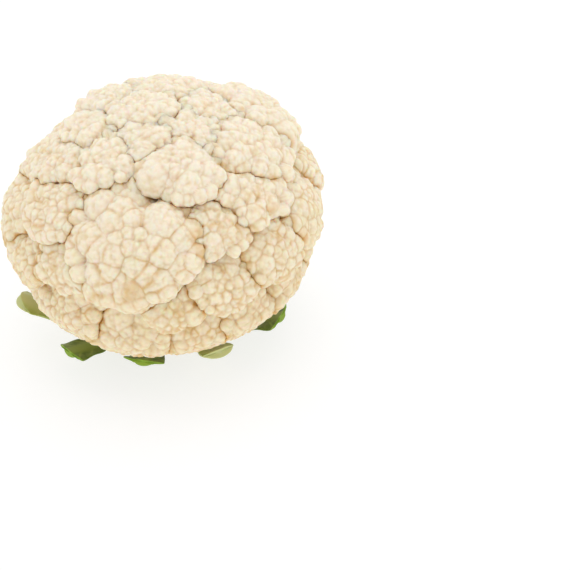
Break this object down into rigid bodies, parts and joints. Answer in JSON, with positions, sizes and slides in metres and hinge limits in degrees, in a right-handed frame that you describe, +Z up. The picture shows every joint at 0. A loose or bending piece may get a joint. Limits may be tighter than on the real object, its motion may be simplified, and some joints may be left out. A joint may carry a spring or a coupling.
{
  "type": "cauliflower",
  "caption": "Whole trimmed head of cauliflower: a domed mass of florets on a short thick stalk, with cut-back leaf bases round its foot.",
  "frame": {"origin": "centre of the stalk's flat cut face, which the head stands on", "axes": "+Z up along the stalk to the crown, -Y to the front, where the biggest floret is, +X to the right"},
  "size_m": [0.186, 0.1839, 0.1597],
  "materials": {
    "curd": "matt, creamy ivory curd of tiny tight flower buds, tan in the creases",
    "stalk": "smooth pale green-white stalk with a moist, paler cut face",
    "leaf": "waxy green leaf base with a thick pale yellow-green rib"
  },
  "bodies": {
    "root": {"crown_floret_01": "curd", "crown_floret_02": "curd", "crown_floret_03": "curd", "crown_floret_04": "curd", "crown_floret_05": "curd", "crown_floret_06": "curd", "crown_floret_07": "curd", "shoulder_floret_01": "curd", "shoulder_floret_02": "curd", "shoulder_floret_03": "curd", "shoulder_floret_04": "curd", "shoulder_floret_05": "curd", "shoulder_floret_06": "curd", "shoulder_floret_07": "curd", "shoulder_floret_08": "curd", "shoulder_floret_09": "curd", "side_floret_01": "curd", "side_floret_02": "curd", "side_floret_03": "curd", "side_floret_04": "curd", "side_floret_05": "curd", "side_floret_06": "curd", "side_floret_07": "curd", "side_floret_08": "curd", "side_floret_09": "curd", "side_floret_10": "curd", "side_floret_11": "curd", "side_floret_12": "curd", "side_floret_13": "curd", "side_floret_14": "curd", "side_floret_15": "curd", "side_floret_16": "curd", "skirt_floret_01": "curd", "skirt_floret_02": "curd", "skirt_floret_03": "curd", "skirt_floret_04": "curd", "skirt_floret_05": "curd", "skirt_floret_06": "curd", "skirt_floret_07": "curd", "skirt_floret_08": "curd", "skirt_floret_09": "curd", "skirt_floret_10": "curd", "skirt_floret_11": "curd", "skirt_floret_12": "curd", "skirt_floret_13": "curd", "skirt_floret_14": "curd", "stalk": "stalk", "leaf_1": "leaf", "leaf_2": "leaf", "leaf_3": "leaf", "leaf_4": "leaf", "leaf_5": "leaf", "leaf_6": "leaf", "leaf_7": "leaf", "leaf_8": "leaf", "leaf_9": "leaf"}
  },
  "joints": []
}
